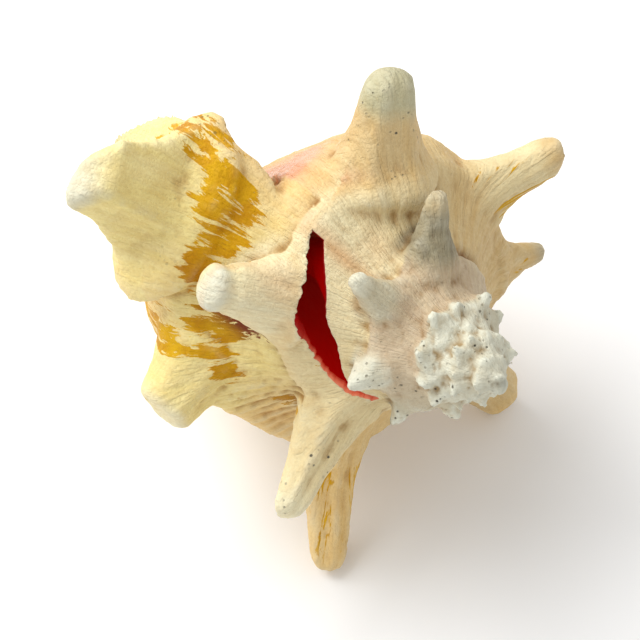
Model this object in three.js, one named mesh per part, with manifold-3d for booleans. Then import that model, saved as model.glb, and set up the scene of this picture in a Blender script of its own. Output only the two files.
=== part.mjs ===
// A spiny queen conch shell (a young Aliger gigas grown with long shoulder spines),
// lying on its back, with a harvester's slit cut in the whorl behind the spire.
// Units are millimetres, +Z is up, and the origin is under the middle of its box.
//
// The shell is worked out in its own growth frame first: the apex is at the origin,
// the coiling axis runs down -Z, and "growth" is the angle in degrees that the
// shell has still to turn before it reaches the lip (0 at the lip, negative before it).

import * as THREE from 'three';
import { ParametricGeometry } from 'three/addons/geometries/ParametricGeometry.js';
import { mergeVertices } from 'three/addons/utils/BufferGeometryUtils.js';
import Module from 'manifold-3d';

// ---------------------------------------------------------------- driving dimensions

const SHELL_LENGTH = 185;          // apex to the end of the siphonal canal
const SHOULDER_DEPTH = 76;         // how far below the apex the last shoulder lies
const DEPTH_GROWTH = 1.5;          // the shoulder's depth grows this much per whorl
const TURN = 360;                  // degrees in one whorl
const LIP_AZIMUTH = 80;            // where the lip stops, round the axis
const LIP_END = 4;                 // growth angle of the lip's edge
const FIRST_WHORL = -2160;         // growth angle where the modelled spire starts
const WALL = 3.6;                  // thickness of the shell wall at the lip
const CAVITY_START = -500;         // growth angle where the hollow begins
const CAVITY_NARROWEST = 1.2;      // the hollow ends where it gets narrower than this
const CANAL_BEND = 7.6;            // how far the canal's end bends to the shell's back
const CANAL_BEND_FROM = 105;       // depth where that bend begins
const CANAL_BEND_AZIMUTH = -120;   // and the direction it goes, round the axis
const FLARE = 0.10;                // the shoulder swells by this share at each spine
const FLARE_ANGLE = 12;            // and over about this many degrees

// Directions in the growth frame that end up pointing up and to the front.
const UP_AT_REST = new THREE.Vector3(0.42, 0.81, 0.41);
const FRONT_AT_REST = new THREE.Vector3(0, 0.656, 0.755);

// Radius of the shoulder between spines, as [growth angle, millimetres].
const SHOULDER_RADIUS = [
  [-2400, 2.0], [-1980, 3.4], [-1800, 4.6], [-1440, 7.4], [-1080, 11.8], [-729, 18.5],
  [-640, 20], [-550, 20.5], [-505, 21.5], [-470, 24.5], [-424, 30], [-357, 35.5],
  [-295, 37], [-200, 38.5], [-162, 40], [-110, 41], [-85, 42], [-60, 45],
  [-35, 51], [-10, 57], [60, 61],
];

// Radius of the body below the shoulder, on the same scale of growth.
const BODY_RADIUS = [
  [-2400, 2.0], [-1980, 3.4], [-1440, 7.4], [-1080, 11.8], [-729, 18.5], [-550, 22],
  [-470, 28], [-424, 34], [-357, 40.5], [-320, 42], [-240, 41], [-110, 43], [-60, 46],
  [0, 50], [60, 52],
];

// The wall below the shoulder: share of the way to the canal, share of the body radius.
const BODY_PROFILE = [
  [0.16, 0.98], [0.32, 0.86], [0.5, 0.67], [0.68, 0.47], [0.85, 0.28], [1, 0.13],
];

// Spines: the tip's growth angle, distance from the axis and depth, the root's growth
// angle where it differs, half widths at the base, middle and tip, and the thickness
// as a share of the width.
const LARGE_SPINES = [
  { at: -456, reach: 53, depth: 39, widths: [10, 7.2, 4.2], flat: 0.9 },
  { at: -391, reach: 56, depth: 51.6, widths: [10.5, 7.2, 6.0], flat: 0.9 },
  { at: -322, reach: 64, depth: 51, widths: [12, 8.6, 6.6], flat: 0.9 },
  { at: -267, reach: 57, depth: 46.3, widths: [10, 7, 4.8], flat: 0.9 },
  { at: -230, reach: 53, depth: 62.7, widths: [6, 4, 2.4], flat: 1 },
  { at: -190, reach: 69.2, depth: 72, widths: [12, 8, 6], flat: 0.9 },
  { at: -134, reach: 75, depth: 61.8, widths: [9, 5.6, 4.6], flat: 0.9 },
  { at: -74, root: -67, reach: 59, depth: 70, widths: [13, 9.4, 7.8], flat: 0.9 },
  { at: -20, reach: 84, depth: 70, widths: [21, 14.5, 8.5], flat: 0.62 },
];
const SMALL_SPINES = [
  { at: -679, reach: 37, depth: 35.5, widths: [6.5, 4.4, 2.8], flat: 1 },
  { at: -729, reach: 31.5, depth: 33.5, widths: [5.5, 3.8, 2], flat: 1 },
  { at: -783, reach: 28, depth: 31, widths: [5.5, 3, 0.9], flat: 1 },
  { at: -828, reach: 22.5, depth: 31.5, widths: [4, 2.6, 0.9], flat: 1 },
];
const SPIRE_KNOBS = { from: -872, to: -1600, step: 42, reach: 1.36, widths: [0.24, 0.16, 0.09] };

// The slit's course over the ramp: growth angle, place between the suture (0) and
// the shoulder (1), and half its width on the same scale.
const SLIT = [
  [-359, 0.96, 0.06], [-366, 0.84, 0.12], [-375, 0.69, 0.15], [-385, 0.59, 0.17],
  [-395, 0.57, 0.20], [-405, 0.51, 0.20], [-417, 0.47, 0.15], [-430, 0.45, 0.08],
  [-442, 0.38, 0.045], [-455, 0.23, 0.03],
];
const SLIT_ABOVE = 6;
const SLIT_BELOW = 11;

const PART_COLOUR = 0xe6d6b4;

// ------------------------------------------------------------------ growth functions

const { degToRad, lerp } = THREE.MathUtils;

/** Smooth monotone interpolation through a table of [x, y] rows. */
function interpolate(table, x) {
  const last = table.length - 1;
  if (x <= table[0][0]) return table[0][1];
  if (x >= table[last][0]) return table[last][1];
  let i = 0;
  while (table[i + 1][0] < x) i += 1;
  const secant = (k) => (table[k + 1][1] - table[k][1]) / (table[k + 1][0] - table[k][0]);
  const slope = (k) => {
    if (k === 0 || k === last) return 0;
    const [before, after] = [secant(k - 1), secant(k)];
    return before * after <= 0 ? 0 : (2 * before * after) / (before + after);
  };
  const span = table[i + 1][0] - table[i][0];
  const t = (x - table[i][0]) / span;
  const [t2, t3] = [t * t, t * t * t];
  return (2 * t3 - 3 * t2 + 1) * table[i][1] + (t3 - 2 * t2 + t) * slope(i) * span
    + (3 * t2 - 2 * t3) * table[i + 1][1] + (t3 - t2) * slope(i + 1) * span;
}

const shoulderRadius = (growth) => interpolate(SHOULDER_RADIUS, growth);
const shoulderDepth = (growth) => SHOULDER_DEPTH * DEPTH_GROWTH ** (growth / TURN);
const canalDepth = (growth) => SHELL_LENGTH * DEPTH_GROWTH ** (growth / TURN);

/** 0 between spines, rising to 1 at a spine. */
function flareAt(growth) {
  const nearest = [...LARGE_SPINES, ...SMALL_SPINES]
    .map((spine) => Math.exp(-(((growth - spine.at) / FLARE_ANGLE) ** 2)));
  return Math.max(...nearest);
}

/** The wall's half section at a growth angle, from the suture to the canal. */
function wallSection(growth, stepsPerSpan) {
  const radius = shoulderRadius(growth);
  const depth = shoulderDepth(growth);
  const body = interpolate(BODY_RADIUS, growth);
  const flare = flareAt(growth);
  const flared = radius * (1 + FLARE * flare);
  const suture = new THREE.Vector2(
    shoulderRadius(growth - TURN) * 0.98,
    shoulderDepth(growth - TURN) + 0.05 * depth,
  );
  const ramp = (out, down) => new THREE.Vector2(
    lerp(suture.x, flared, out),
    lerp(suture.y, depth, down),
  );
  const points = [
    suture,
    ramp(0.35, 0.42 - 0.02 * flare),
    ramp(0.72, 0.76 - 0.05 * flare),
    new THREE.Vector2(flared, depth),
    new THREE.Vector2(lerp(radius, body, 0.4), lerp(depth, canalDepth(growth), 0.06)),
  ];
  for (const [down, share] of BODY_PROFILE) {
    points.push(new THREE.Vector2(body * share, lerp(depth, canalDepth(growth), down)));
  }
  const spans = points.length - 1;
  return new THREE.SplineCurve(points).getPoints(spans * stepsPerSpan);
}

/** A point from its azimuth, distance from the axis and depth, with the canal's bend. */
function place(azimuth, radius, depth, target = new THREE.Vector3()) {
  const angle = degToRad(azimuth);
  const bendShare = Math.max(0, depth - CANAL_BEND_FROM) / (SHELL_LENGTH - CANAL_BEND_FROM);
  const bend = CANAL_BEND * bendShare ** 2;
  const bendAngle = degToRad(CANAL_BEND_AZIMUTH);
  return target.set(
    radius * Math.cos(angle) + bend * Math.cos(bendAngle),
    radius * Math.sin(angle) + bend * Math.sin(bendAngle),
    -depth,
  );
}

/** Azimuth of a half section: the shell turns the other way as it grows. */
const azimuthOf = (growth) => LIP_AZIMUTH - growth;

// ---------------------------------------------------------------------- solid makers

const wasm = await Module();
wasm.setup();

function signedVolume(position, triangles) {
  const [a, b, c] = [new THREE.Vector3(), new THREE.Vector3(), new THREE.Vector3()];
  let volume = 0;
  for (let i = 0; i < triangles.length; i += 3) {
    a.fromBufferAttribute(position, triangles[i]);
    b.fromBufferAttribute(position, triangles[i + 1]);
    c.fromBufferAttribute(position, triangles[i + 2]);
    volume += a.dot(b.cross(c)) / 6;
  }
  return volume;
}

/** A closed geometry as a solid, with its faces turned outwards. */
function toSolid(geometry) {
  geometry.deleteAttribute('normal');
  geometry.deleteAttribute('uv');
  const merged = mergeVertices(geometry, 1e-3);
  const index = merged.index.array;
  const triangles = [];
  for (let i = 0; i < index.length; i += 3) {
    const [p, q, r] = [index[i], index[i + 1], index[i + 2]];
    if (p !== q && q !== r && r !== p) triangles.push(p, q, r);
  }
  if (signedVolume(merged.attributes.position, triangles) < 0) triangles.reverse();
  return new wasm.Manifold(new wasm.Mesh({
    numProp: 3,
    vertProperties: new Float32Array(merged.attributes.position.array),
    triVerts: new Uint32Array(triangles),
  }));
}

/** Skins a row of closed rings, all with as many points, and closes both ends. */
function skinRings(rings) {
  const around = rings[0].length;
  const centres = [rings[0], rings.at(-1)].map((ring) => (
    ring.reduce((sum, point) => sum.add(point), new THREE.Vector3()).divideScalar(around)
  ));
  const rows = [
    new Array(around).fill(centres[0]),
    ...rings,
    new Array(around).fill(centres[1]),
  ];
  const along = rows.length - 1;
  const surface = (u, v, target) => (
    target.copy(rows[Math.round(v * along)][Math.round(u * around) % around])
  );
  return toSolid(new ParametricGeometry(surface, around, along));
}

const steps = (from, to, size) => {
  const count = Math.max(1, Math.round((to - from) / size));
  return Array.from({ length: count + 1 }, (_, i) => lerp(from, to, i / count));
};

const addAll = (solids) => solids.reduce((sum, solid) => sum.add(solid));

// ------------------------------------------------------------------------ the pieces

/** One closed ring of a whorl: its wall, then back up the coiling axis. */
function whorlRing(growth, stepsPerSpan) {
  const wall = wallSection(growth, stepsPerSpan);
  const last = wall.length - 1;
  const ring = wall.map((point) => place(azimuthOf(growth), point.x, point.y));
  ring.push(place(0, 0, wall[last].y), place(0, 0, lerp(wall[last].y, wall[0].y, 0.5)));
  ring.push(place(0, 0, wall[0].y));
  return ring;
}

/** The solid whorls, in arcs shorter than a turn so that none meets itself. */
function whorls() {
  const arcs = [
    { from: FIRST_WHORL, to: -1080, arc: 180, step: 30, fine: 1 },
    { from: -1080, to: -720, arc: 180, step: 22.5, fine: 1 },
    { from: -720, to: -360, arc: 180, step: 12, fine: 2 },
    { from: -360, to: LIP_END, arc: 183, step: 10.2, fine: 2 },
  ];
  return arcs.flatMap(({ from, to, arc, step, fine }) => {
    const ends = steps(from, to, arc);
    return ends.slice(1).map((end, i) => (
      skinRings(steps(ends[i], end, step).map((growth) => whorlRing(growth, fine)))
    ));
  });
}

/** A solid lofted along a straight line, round or flattened, with a rounded tip. */
function loft(path, radii, sides, flat) {
  const direction = path.at(-1).clone().sub(path[0]).normalize();
  const across = direction.clone().cross(new THREE.Vector3(0, 0, 1)).normalize();
  const over = across.clone().cross(direction);
  return skinRings(path.map((centre, i) => (
    Array.from({ length: sides }, (_, k) => {
      const angle = (2 * Math.PI * k) / sides;
      return centre.clone()
        .addScaledVector(across, radii[i] * Math.cos(angle))
        .addScaledVector(over, radii[i] * flat * Math.sin(angle));
    })
  )));
}

/** A shoulder spine, rooted inside the whorl and blunt at its tip. */
function spine({ at, root = at, reach, depth, widths, flat }, sides, rings) {
  const azimuth = azimuthOf(root);
  const [base, middle, tip] = widths;
  const radius = shoulderRadius(root);
  const rootDepth = shoulderDepth(root);
  const foot = place(azimuth, radius * 0.92, rootDepth * 1.05);
  const end = place(azimuthOf(at), reach, depth);
  const path = [place(azimuth, radius * 0.55, rootDepth * 1.1)];
  const radii = [base * 1.05];
  const roundFrom = 0.86;
  for (let i = 0; i <= rings; i += 1) {
    const u = i / rings;
    const round = Math.max(0, (u - roundFrom) / (1 - roundFrom));
    const taper = tip + (middle - tip) * (1 - u) * 1.4;
    const spread = (base - middle) * Math.max(0, 1 - u * 1.5) ** 2;
    path.push(foot.clone().lerp(end, u));
    radii.push((taper + spread) * Math.sqrt(Math.max(0.04, 1 - round ** 2)));
  }
  return loft(path, radii, sides, flat);
}

function spines() {
  const knobs = [];
  for (let at = SPIRE_KNOBS.from; at > SPIRE_KNOBS.to; at -= SPIRE_KNOBS.step) {
    const radius = shoulderRadius(at);
    knobs.push({
      at,
      reach: radius * SPIRE_KNOBS.reach,
      depth: shoulderDepth(at) * 0.98,
      widths: SPIRE_KNOBS.widths.map((share) => share * radius),
      flat: 1,
    });
  }
  return [
    ...LARGE_SPINES.map((row) => spine(row, 10, 9)),
    ...SMALL_SPINES.map((row) => spine(row, 7, 6)),
    ...knobs.map((row) => spine(row, 5, 3)),
  ];
}

/** The columella, the solid pillar that the whorls wind round. */
function columella() {
  const depths = [12, 40, 100, 130, 160, SHELL_LENGTH * 0.97, SHELL_LENGTH];
  const radii = [3, 8, 10, 9, 8, 7, 4];
  const sides = 8;
  return skinRings(depths.map((depth, i) => (
    Array.from({ length: sides }, (_, k) => place((TURN * k) / sides, radii[i], depth))
  )));
}

/** The largest radius that a half section reaches at a depth. */
function radiusAt(section, depth) {
  let widest = 0;
  for (let i = 1; i < section.length; i += 1) {
    const [p, q] = [section[i - 1], section[i]];
    if ((p.y - depth) * (q.y - depth) <= 0 && Math.abs(q.y - p.y) > 1e-6) {
      widest = Math.max(widest, lerp(p.x, q.x, (depth - p.y) / (q.y - p.y)));
    }
  }
  return widest;
}

/** One ring of the hollow, between this whorl's wall and the whorl inside it. */
function cavityRing(growth) {
  const scale = shoulderDepth(growth) / SHOULDER_DEPTH;
  const wall = WALL * scale ** 0.6;
  const narrow = CAVITY_NARROWEST * scale;
  const outer = wallSection(growth, 4);
  const inner = wallSection(growth - TURN, 4);
  const suture = outer[0].y;
  const canal = canalDepth(growth);
  const pillar = (depth) => lerp(8.5, 4.5, (depth - suture) / (canal - suture)) * scale;
  const near = (depth) => Math.max(radiusAt(inner, depth) + 0.9 * wall, pillar(depth));
  const far = (depth) => radiusAt(outer, depth) - 1.15 * wall;
  const open = steps(suture, canal, 1).filter((depth) => far(depth) - near(depth) > narrow);
  const top = open[0];
  const bottom = open.at(-1);
  const rows = 8;
  const outside = [];
  const inside = [];
  for (let i = 0; i <= rows; i += 1) {
    const share = (i / rows) ** 1.3;
    const depth = lerp(top, bottom, share);
    const reach = Math.max(far(depth), near(depth) + narrow);
    outside.push(place(azimuthOf(growth), reach, depth));
    inside.push(place(azimuthOf(growth), near(depth), depth));
  }
  return [...outside, ...inside.reverse()];
}

function cavities() {
  const joint = -250;
  const arcs = [[CAVITY_START, joint + 10], [joint, LIP_END + 8]];
  return arcs.map(([from, to]) => skinRings(steps(from, to, 15).map(cavityRing)));
}

/** A point on the ramp between the suture (0) and the shoulder (1). */
function onRamp(growth, share) {
  const rampSpans = 3;
  const fine = 6;
  const section = wallSection(growth, fine);
  const at = share * rampSpans * fine;
  const i = Math.floor(at);
  const point = section[i].clone().lerp(section[i + 1], at - i);
  return place(azimuthOf(growth), point.x, point.y);
}

/** The cutter for the slit: a curved wedge through the ramp into the hollow. */
function slitCutter() {
  return skinRings(SLIT.map(([growth, centre, halfWidth]) => {
    const inner = onRamp(growth, centre - halfWidth);
    const outer = onRamp(growth, centre + halfWidth);
    const next = onRamp(growth + 3, centre);
    const normal = outer.clone().sub(inner).cross(next.sub(inner)).normalize();
    if (normal.z < 0) normal.negate();
    return [
      inner.clone().addScaledVector(normal, SLIT_ABOVE),
      outer.clone().addScaledVector(normal, SLIT_ABOVE),
      outer.clone().addScaledVector(normal, -SLIT_BELOW),
      inner.clone().addScaledVector(normal, -SLIT_BELOW),
    ];
  }));
}

/** The triangles of the largest connected piece, without the cuts' loose crumbs. */
function largestPiece(triangles, vertexCount) {
  const parent = Array.from({ length: vertexCount }, (_, i) => i);
  const root = (vertex) => {
    let found = vertex;
    while (parent[found] !== found) {
      parent[found] = parent[parent[found]];
      found = parent[found];
    }
    return found;
  };
  const pieces = new Map();
  for (let i = 0; i < triangles.length; i += 3) {
    parent[root(triangles[i])] = root(triangles[i + 1]);
    parent[root(triangles[i + 1])] = root(triangles[i + 2]);
  }
  for (let i = 0; i < triangles.length; i += 3) {
    const name = root(triangles[i]);
    if (!pieces.has(name)) pieces.set(name, []);
    pieces.get(name).push(triangles[i], triangles[i + 1], triangles[i + 2]);
  }
  return [...pieces.values()].reduce((best, piece) => (piece.length > best.length ? piece : best));
}

/** The solid's main piece as a geometry. */
function toGeometry(solid) {
  const mesh = solid.getMesh();
  const geometry = new THREE.BufferGeometry();
  geometry.setAttribute('position', new THREE.BufferAttribute(mesh.vertProperties, mesh.numProp));
  geometry.setIndex(largestPiece(mesh.triVerts, mesh.numVert));
  return geometry;
}

/** Turns the growth frame to the way the shell lies and stands it on the ground. */
function layDown(mesh) {
  const up = UP_AT_REST.clone().normalize();
  const front = FRONT_AT_REST.clone().projectOnPlane(up).normalize();
  const right = front.clone().negate().cross(up);
  const toGrowthFrame = new THREE.Matrix4().makeBasis(right, front.clone().negate(), up);
  mesh.setRotationFromMatrix(toGrowthFrame.transpose());
  mesh.updateMatrixWorld();
  const box = new THREE.Box3().setFromObject(mesh, true);
  const centre = box.getCenter(new THREE.Vector3());
  mesh.position.set(-centre.x, -centre.y, -box.min.z);
}

const body = addAll([...whorls(), columella(), ...spines()]);
const hollowed = [...cavities(), slitCutter()].reduce((sum, cutter) => sum.subtract(cutter), body);

const shell = new THREE.Mesh(
  toGeometry(hollowed),
  new THREE.MeshStandardMaterial({ color: PART_COLOUR, roughness: 0.65, metalness: 0 }),
);
shell.name = 'shell';
layDown(shell);

const conch = new THREE.Group();
conch.add(shell);

export default conch;
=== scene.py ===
"""Looks of a spiny queen conch shell that lies on two spines and its canal.

The shell is worked out in its own growth frame, in millimetres: the apex is at the origin and
the coiling axis runs down -Z. A growth angle counts the degrees that the shell has still to
turn before it reaches the lip, so it is 0 at the lip and negative before it. "Share" is a
place across a whorl: 0 at the suture, 1 at the shoulder and 2 at the canal. The finished mesh
is turned to the way the shell lies and put in the frame's box, in metres.
"""

import logging
import math
from collections.abc import Iterable, Sequence
from dataclasses import dataclass, field
from enum import Enum

import bmesh
import bpy
import numpy as np
from mathutils import Matrix, Vector, noise


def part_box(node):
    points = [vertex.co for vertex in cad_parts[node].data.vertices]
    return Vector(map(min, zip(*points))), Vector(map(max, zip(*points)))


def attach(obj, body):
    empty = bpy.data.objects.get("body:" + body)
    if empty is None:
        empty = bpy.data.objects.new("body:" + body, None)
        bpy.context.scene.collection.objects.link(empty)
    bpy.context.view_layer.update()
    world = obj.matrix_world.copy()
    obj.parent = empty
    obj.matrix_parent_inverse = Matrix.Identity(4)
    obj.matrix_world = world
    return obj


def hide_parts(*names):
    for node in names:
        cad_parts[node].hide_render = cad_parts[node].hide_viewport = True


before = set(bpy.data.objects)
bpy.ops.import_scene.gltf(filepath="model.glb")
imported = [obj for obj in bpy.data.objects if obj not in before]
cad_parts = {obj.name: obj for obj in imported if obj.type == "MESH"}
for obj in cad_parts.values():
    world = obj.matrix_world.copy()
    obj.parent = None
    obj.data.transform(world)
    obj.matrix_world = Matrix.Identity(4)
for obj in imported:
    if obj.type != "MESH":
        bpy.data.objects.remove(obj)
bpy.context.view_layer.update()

LOG = logging.getLogger("conch")
MM = 0.001
TURN = 360.0
HALF_TURN = 180.0
BRIGHTNESS = 0.95

Table = tuple[tuple[float, ...], ...]
Value = float | np.ndarray


# colours


class Tone(Enum):
    """Named colours of the shell, as they look in the light of the studio, 0 to 255."""

    CREAM = (244, 227, 178)
    PALE_CREAM = (250, 240, 200)
    YELLOW_CREAM = (252, 234, 158)
    WARM_CREAM = (244, 210, 142)
    TAN = (226, 196, 138)
    GREY_TAN = (196, 178, 138)
    GREEN_GREY = (196, 192, 156)
    PINK_BEIGE = (216, 196, 166)
    CHALK = (229, 228, 208)
    BONE = (213, 206, 180)
    GREY = (150, 142, 118)
    OLIVE = (118, 104, 52)
    OCHRE = (226, 176, 6)
    DARK_OCHRE = (194, 132, 0)
    # Dark red-brown of painted shade, used in the seam crack and under the front spines.
    RUST = (124, 56, 26)
    ORANGE = (226, 176, 120)
    SALMON = (236, 168, 126)
    PEACH = (246, 208, 176)
    ROSE = (226, 126, 96)
    DEEP_RED = (244, 10, 6)
    DARK_RED = (150, 8, 5)

    def linear(self) -> tuple[float, float, float, float]:
        """The colour of the bare surface in linear light.

        Returns:
            Red, green, blue and a full alpha.
        """
        parts = [
            c / 255 / 12.92 if c <= 10 else ((c / 255 + 0.055) / 1.055) ** 2.4
            for c in self.value
        ]
        return (*(part * BRIGHTNESS for part in parts), 1.0)


def blend_tones(rows: Sequence[tuple[float, Tone]], place: np.ndarray) -> np.ndarray:
    """Colours that change evenly along a row of named tones.

    Args:
        rows: Places in rising order, each with its tone.
        place: Where each colour is wanted.

    Returns:
        One linear red, green and blue for each place.
    """
    places = [row[0] for row in rows]
    tones = np.array([row[1].linear()[:3] for row in rows])
    return np.stack([np.interp(place, places, tones[:, c]) for c in range(3)], axis=1)


# small helpers


def interpolate(table: Table, place: Value) -> Value:
    """Smooth monotone interpolation through a table.

    Args:
        table: Rows of (place, size), in rising order of place.
        place: Where the size is wanted.

    Returns:
        The size at each place.
    """
    places, sizes = np.array(table, float).T
    spans = np.diff(places)
    secants = np.diff(sizes) / spans
    product = secants[:-1] * secants[1:]
    total = np.where(product > 0, secants[:-1] + secants[1:], 1.0)
    slopes = np.zeros(len(places))
    slopes[1:-1] = np.where(product > 0, 2 * product / total, 0.0)
    x = np.clip(place, places[0], places[-1])
    i = np.clip(np.searchsorted(places, x, side="right") - 1, 0, len(spans) - 1)
    t = (x - places[i]) / spans[i]
    return (
        (2 * t**3 - 3 * t**2 + 1) * sizes[i]
        + (t**3 - 2 * t**2 + t) * slopes[i] * spans[i]
        + (3 * t**2 - 2 * t**3) * sizes[i + 1]
        + (t**3 - t**2) * slopes[i + 1] * spans[i]
    )


def fade(low: float, high: float, value: Value) -> Value:
    """0 below low, 1 above high and smooth between them."""
    t = np.clip((value - low) / (high - low), 0, 1)
    return t * t * (3 - 2 * t)


def steps(start: float, stop: float, size: float) -> list[float]:
    """Evenly spaced values from start to stop, about one size apart."""
    count = max(1, round((stop - start) / size))
    return [start + (stop - start) * i / count for i in range(count + 1)]


def rough(points: np.ndarray, size: float, seed: float, octaves: int = 1) -> np.ndarray:
    """Smooth noise at each point, about -1 to 1.

    Args:
        points: Rows of x, y and z.
        size: How far apart the bumps are, in the points' own unit.
        seed: Moves the pattern.
        octaves: How many finer layers the noise has.

    Returns:
        One value for each point.
    """
    shift = Vector((seed, seed * 0.37, -seed * 0.71))
    scaled = points / size
    if octaves == 1:
        return np.array([noise.noise(Vector(p) + shift) for p in scaled])
    return np.array(
        [noise.fractal(Vector(p) + shift, 0.9, 2.1, octaves) for p in scaled]
    )


def apply_modifier(piece: bpy.types.Object, kind: str, **settings: object) -> None:
    """Adds a modifier to a piece and makes its result the piece's own mesh.

    Args:
        piece: The piece to change.
        kind: Blender's name for the kind of modifier.
        settings: Values for the modifier's own settings.
    """
    modifier = piece.modifiers.new(kind.lower(), kind)
    for name, value in settings.items():
        setattr(modifier, name, value)
    graph = bpy.context.evaluated_depsgraph_get()
    finished = bpy.data.meshes.new_from_object(piece.evaluated_get(graph), depsgraph=graph)
    before = piece.data
    piece.modifiers.clear()
    piece.data = finished
    bpy.data.meshes.remove(before)


def skin_rings(
    name: str, rings: Sequence[np.ndarray], slot: int = 0
) -> bpy.types.Object:
    """Skins a row of closed rings, all with as many points, and closes both ends.

    Args:
        name: The new piece's name.
        rings: One array of points for each ring, in order.
        slot: The material slot of every face.

    Returns:
        The new closed piece, in the rings' own unit.
    """
    mesh = bmesh.new()
    around = len(rings[0])
    bmesh.ops.create_circle(mesh, cap_ends=False, segments=around, radius=1.0)
    ring = list(mesh.verts)
    edges = list(mesh.edges)
    ends = list(edges)
    for vertex, point in zip(ring, rings[0], strict=True):
        vertex.co = point
    known = set(ring)
    for points in rings[1:]:
        bmesh.ops.extrude_edge_only(mesh, edges=edges)
        grown = []
        for vertex, point in zip(ring, points, strict=True):
            ahead = next(
                edge.other_vert(vertex)
                for edge in vertex.link_edges
                if edge.other_vert(vertex) not in known
            )
            ahead.co = point
            grown.append(ahead)
        known = set(ring) | set(grown)
        ring = grown
        edges = [
            mesh.edges.get((ring[i], ring[(i + 1) % around])) for i in range(around)
        ]
    bmesh.ops.edgeloop_fill(mesh, edges=ends)
    bmesh.ops.edgeloop_fill(mesh, edges=edges)
    bmesh.ops.recalc_face_normals(mesh, faces=mesh.faces)
    for face in mesh.faces:
        face.material_index = slot
    data = bpy.data.meshes.new(name)
    mesh.to_mesh(data)
    mesh.free()
    piece = bpy.data.objects.new(name, data)
    bpy.context.scene.collection.objects.link(piece)
    return piece


# how it has grown


@dataclass(frozen=True)
class GrowthLaw:
    """How the shell's shape follows from the growth angle."""

    length: float = 185.0
    shoulder: float = 76.0
    gain: float = 1.5
    lip_azimuth: float = 80.0
    lip_end: float = 4.0
    lip_wave: float = 2.4
    lip_wave_from: float = -14.0
    lip_recess: float = 12.0
    lip_recess_from: float = -18.0
    lip_recess_share: float = 0.07
    first_whorl: float = -2160.0
    flare: float = 0.10
    flare_angle: float = 12.0
    bend: float = 7.6
    bend_from: float = 105.0
    bend_azimuth: float = -120.0
    flare_sites: tuple[float, ...] = ()
    shoulder_radii: Table = (
        (-2400, 2.0), (-1980, 3.4), (-1800, 4.6), (-1440, 7.4), (-1080, 11.8),
        (-729, 18.5), (-640, 20), (-550, 20.5), (-505, 21.5), (-470, 24.5), (-424, 30),
        (-357, 35.5), (-295, 37), (-200, 38.5), (-162, 40), (-110, 41), (-85, 42),
        (-60, 45), (-35, 51), (-10, 57), (60, 61),
    )
    body_radii: Table = (
        (-2400, 2.0), (-1980, 3.4), (-1440, 7.4), (-1080, 11.8), (-729, 18.5),
        (-550, 22), (-470, 28), (-424, 34), (-357, 40.5), (-320, 42), (-240, 41),
        (-110, 43), (-60, 46), (0, 50), (60, 52),
    )
    body_profile: Table = (
        (0.16, 0.98), (0.32, 0.86), (0.5, 0.67), (0.68, 0.47), (0.85, 0.28), (1, 0.13),
    )

    def radius(self, growth: Value) -> Value:
        """Distance from the axis to the shoulder."""
        return interpolate(self.shoulder_radii, growth)

    def depth(self, growth: Value) -> Value:
        """Depth of the shoulder below the apex."""
        return self.shoulder * self.gain ** (growth / TURN)

    def canal(self, growth: Value) -> Value:
        """Depth of the canal's end below the apex."""
        return self.length * self.gain ** (growth / TURN)

    def suture(self, growth: Value) -> tuple[Value, Value]:
        """Radius and depth of the seam with the whorl before."""
        radius = self.radius(growth - TURN) * 0.98
        return radius, self.depth(growth - TURN) + 0.05 * self.depth(growth)

    def flare_at(self, growth: float) -> float:
        """How near a growth angle is to a spine.

        Args:
            growth: The growth angle.

        Returns:
            0 between spines, rising to 1 at a spine.
        """
        return max(
            math.exp(-(((growth - site) / self.flare_angle) ** 2))
            for site in self.flare_sites
        )

    def azimuth(self, growth: Value) -> Value:
        """The way round the axis, in degrees, at a growth angle."""
        return self.lip_azimuth - growth

    def section(self, growth: float, fine: int) -> np.ndarray:
        """The wall's half section, from the suture down to the canal.

        Args:
            growth: The growth angle.
            fine: How many steps each span of the section has.

        Returns:
            Rows of radius and depth.
        """
        radius = self.radius(growth)
        depth = self.depth(growth)
        canal = self.canal(growth)
        body = interpolate(self.body_radii, growth)
        flare = self.flare_at(growth)
        flared = radius * (1 + self.flare * flare)
        seam = np.array(self.suture(growth))
        edge = np.array([flared, depth])
        points = [
            seam,
            seam + (edge - seam) * [0.35, 0.42 - 0.02 * flare],
            seam + (edge - seam) * [0.72, 0.76 - 0.05 * flare],
            edge,
            np.array([radius + (body - radius) * 0.4, depth + (canal - depth) * 0.06]),
        ]
        points += [
            np.array([body * share, depth + (canal - depth) * down])
            for down, share in self.body_profile
        ]
        return smooth_path(points, fine)

    def bent(self, depth: Value) -> tuple[Value, Value]:
        """How far the canal's bend moves a depth aside, in x and y.

        Args:
            depth: Depth below the apex.

        Returns:
            The move in x and in y.
        """
        share = np.maximum(0, depth - self.bend_from) / (self.length - self.bend_from)
        turn = math.radians(self.bend_azimuth)
        return self.bend * share**2 * math.cos(turn), self.bend * share**2 * math.sin(turn)

    def place(self, azimuth: Value, radius: Value, depth: Value) -> np.ndarray:
        """Points in the growth frame, with the canal's bend.

        Args:
            azimuth: The way round the axis, in degrees.
            radius: Distance from the axis.
            depth: Depth below the apex.

        Returns:
            Rows of x, y and z.
        """
        angle = np.radians(azimuth)
        x, y = self.bent(depth)
        spots = np.broadcast_arrays(
            radius * np.cos(angle) + x, radius * np.sin(angle) + y, -depth * 1.0
        )
        return np.stack(spots, axis=-1)

    def unbend(self, points: np.ndarray) -> tuple[np.ndarray, np.ndarray, np.ndarray]:
        """Takes the canal's bend out of points.

        Args:
            points: Rows of x, y and z in the growth frame.

        Returns:
            Their azimuth in degrees, radius and depth.
        """
        depth = -points[:, 2]
        aside = self.bent(depth)
        x, y = points[:, 0] - aside[0], points[:, 1] - aside[1]
        return np.degrees(np.arctan2(y, x)), np.hypot(x, y), depth


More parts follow.
